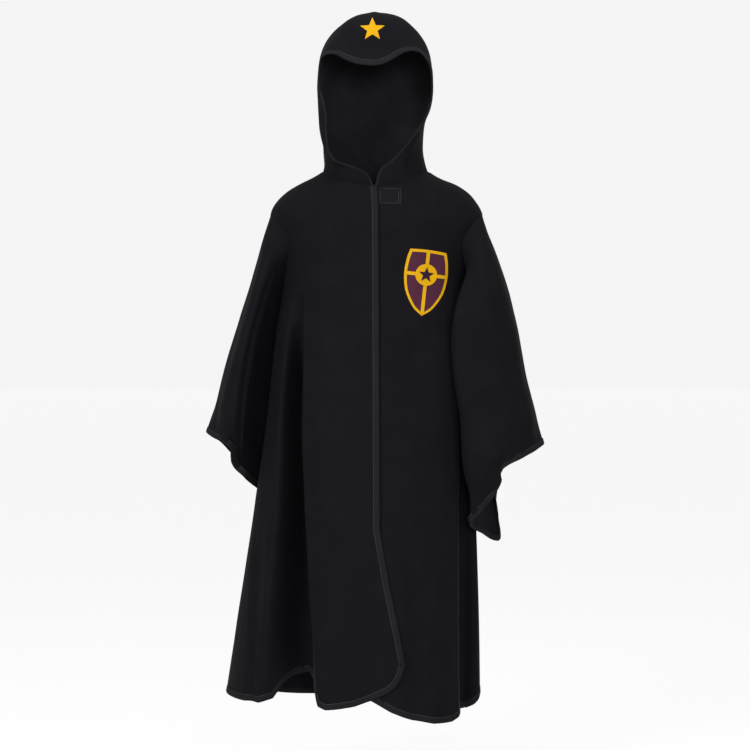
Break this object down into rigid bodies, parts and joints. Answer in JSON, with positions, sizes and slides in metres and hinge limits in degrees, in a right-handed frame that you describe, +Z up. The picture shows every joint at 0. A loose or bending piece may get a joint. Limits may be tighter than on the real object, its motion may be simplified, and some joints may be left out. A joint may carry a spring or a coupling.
{
  "type": "hooded costume cape",
  "caption": "Long black hooded costume cape with wide bell sleeves, a wrapped front closed at the neck and a shield badge on the chest",
  "frame": {"origin": "middle of the neck opening, at the neck seam, where the cape rests on the shoulders", "axes": "+Z up, front faces -Y, +X is the wearer's left"},
  "size_m": [0.5399, 0.3171, 1.1068],
  "materials": {
    "knit": "brushed matte knit",
    "binding": "woven bias tape",
    "badge_gold": "satin print",
    "badge_plum": "satin print",
    "badge_purple": "satin print",
    "hook_and_loop": "hook and loop tape",
    "label": "satin ribbon"
  },
  "bodies": {
    "robe": {"back_hem_binding": "binding", "back_panel": "knit", "care_label": "label", "closure_hook_patch": "hook_and_loop", "closure_loop_patch": "hook_and_loop", "front_left_edge_binding": "binding", "front_left_panel": "knit", "front_right_edge_binding": "binding", "front_right_panel": "knit", "hanger_loop": "binding", "left_hem_binding": "binding", "neck_seam_tape": "binding", "right_hem_binding": "binding", "shield_fields": "badge_plum", "shield_ground": "badge_gold", "shield_star": "badge_purple"},
    "sleeve_right": {"sleeve_right": "knit", "sleeve_right_binding": "binding"},
    "sleeve_left": {"sleeve_left": "knit", "sleeve_left_binding": "binding"},
    "front_right": {"front_right_flap": "knit", "front_right_flap_binding": "binding"},
    "front_left": {"front_left_flap": "knit", "front_left_flap_binding": "binding"},
    "hood": {"hood_shell": "knit", "hood_edge_binding": "binding", "hood_star": "badge_gold"}
  },
  "joints": [
    {"name": "sleeve_right_raise", "type": "hinge", "parent": "robe", "child": "sleeve_right", "pos_m": [-0.167, 0, -0.056], "axis": [0, 1, 0], "range_deg": [0, 70]},
    {"name": "sleeve_left_raise", "type": "hinge", "parent": "robe", "child": "sleeve_left", "pos_m": [0.172, 0, -0.056], "axis": [0, -1, 0], "range_deg": [0, 70]},
    {"name": "front_right_open", "type": "hinge", "parent": "robe", "child": "front_right", "pos_m": [-0.112, -0.08, -0.25], "axis": [0.0192, -0.1232, -0.9922], "range_deg": [0, 60]},
    {"name": "front_left_open", "type": "hinge", "parent": "robe", "child": "front_left", "pos_m": [0.114, -0.068, -0.25], "axis": [-0.0226, 0.0451, 0.9987], "range_deg": [0, 33]},
    {"name": "hood_fold", "type": "hinge", "parent": "robe", "child": "hood", "pos_m": [0, 0.076, 0.008], "axis": [-1, 0, 0], "range_deg": [0, 75]}
  ],
  "couplings": [
    {"joint": "front_left_open", "follows": "front_right_open", "ratio": 0.55}
  ]
}
